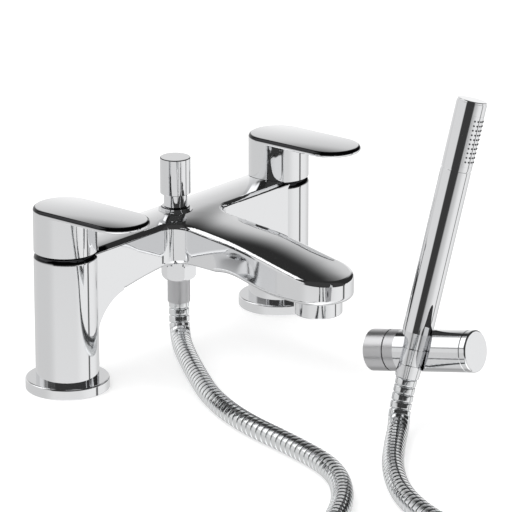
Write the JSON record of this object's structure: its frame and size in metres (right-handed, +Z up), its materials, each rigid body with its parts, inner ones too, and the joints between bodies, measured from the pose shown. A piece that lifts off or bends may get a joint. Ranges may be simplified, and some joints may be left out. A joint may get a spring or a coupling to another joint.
{
  "type": "bath shower mixer",
  "caption": "Deck-mounted bath shower mixer on two legs with flat lever handles, lift-knob diverter, long spout, metal hose, slim stick handset and swivelling wall bracket.",
  "frame": {"origin": "midway between the two inlets, on the plane of the deck that the flanges stand on", "axes": "+X from the left inlet to the right inlet, the spout points along -Y, +Z up"},
  "size_m": [0.3942, 0.4114, 0.1777],
  "materials": {
    "chrome_casting": "polished chrome plate over cast brass",
    "chrome_trim": "polished chrome plate",
    "chrome_lever": "polished chrome plate",
    "chrome_handset": "polished chrome plate",
    "chrome_bracket": "polished chrome plate",
    "black_rubber": "black rubber",
    "ceramic": "white sintered ceramic, lapped",
    "bare_brass": "machined brass",
    "steel_screw": "plain steel",
    "steel_plate": "plain steel",
    "insert_plastic": "light grey moulded plastic",
    "white_plastic": "white low-friction plastic",
    "satin_ferrule": "satin steel",
    "satin_rose": "satin chrome",
    "hose_metal": "chromed spiral-wound metal",
    "spray_face": "polished chrome plate",
    "nozzle_rubber": "dark grey silicone"
  },
  "bodies": {
    "mixer": {"body_casting": "chrome_casting", "left_deck_flange": "chrome_trim", "left_base_seal": "black_rubber", "left_valve_seal": "black_rubber", "left_fixed_disc": "ceramic", "left_valve_cartridge": "bare_brass", "right_deck_flange": "chrome_trim", "right_base_seal": "black_rubber", "right_valve_seal": "black_rubber", "right_fixed_disc": "ceramic", "right_valve_cartridge": "bare_brass", "diverter_gland": "chrome_trim", "diverter_gland_seal": "black_rubber", "aerator_housing": "chrome_trim", "aerator_insert": "insert_plastic", "aerator_seal": "black_rubber", "outlet_nipple": "chrome_trim", "hose_nut": "chrome_trim", "hose_washer": "black_rubber", "hose_connector": "bare_brass", "hose_ferrule": "satin_ferrule", "hose_mixer_run": "hose_metal", "hose_coil": "hose_metal", "hose_handset_run": "hose_metal", "handset_holder": "chrome_bracket", "holder_cap": "chrome_bracket", "pivot_screw": "steel_screw"},
    "left_handle": {"left_lever": "chrome_lever", "left_lever_screw": "steel_screw", "left_spindle": "bare_brass", "left_moving_disc": "ceramic"},
    "right_handle": {"right_lever": "chrome_lever", "right_lever_screw": "steel_screw", "right_spindle": "bare_brass", "right_moving_disc": "ceramic"},
    "diverter": {"diverter_knob": "chrome_trim", "diverter_rod": "bare_brass", "diverter_plunger": "bare_brass", "diverter_plunger_seal": "black_rubber"},
    "handset": {"cone_nut": "chrome_handset", "handset_hose_tail": "bare_brass", "handset_washer": "black_rubber", "handset_inlet": "bare_brass", "handset_handle": "chrome_handset", "spray_head": "chrome_handset", "spray_plate": "spray_face", "spray_nozzles": "nozzle_rubber", "handset_end_cap": "chrome_handset"},
    "rose": {"wall_rose": "satin_rose", "wall_rose_screw": "steel_screw", "wall_plate": "steel_plate", "friction_washer": "white_plastic"}
  },
  "joints": [
    {"name": "left_lever_turn", "type": "hinge", "parent": "mixer", "child": "left_handle", "pos_m": [-0.09, 0, 0.09], "axis": [0, 0, 1], "range_deg": [-90, 0]},
    {"name": "right_lever_turn", "type": "hinge", "parent": "mixer", "child": "right_handle", "pos_m": [0.09, 0, 0.09], "axis": [0, 0, 1], "range_deg": [0, 90]},
    {"name": "diverter_lift", "type": "slide", "parent": "mixer", "child": "diverter", "axis": [0, 0, 1], "range_m": [0, 0.007]},
    {"name": "handset_lift", "type": "slide", "parent": "mixer", "child": "handset", "axis": [0.2208, -0.0988, 0.9703], "range_m": [0, 0.05]},
    {"name": "bracket_swivel", "type": "hinge", "parent": "mixer", "child": "rose", "pos_m": [-0.0263, -0.185, 0.045], "axis": [0.0857, -0.9795, 0.1822], "range_deg": [-90, 90]}
  ]
}
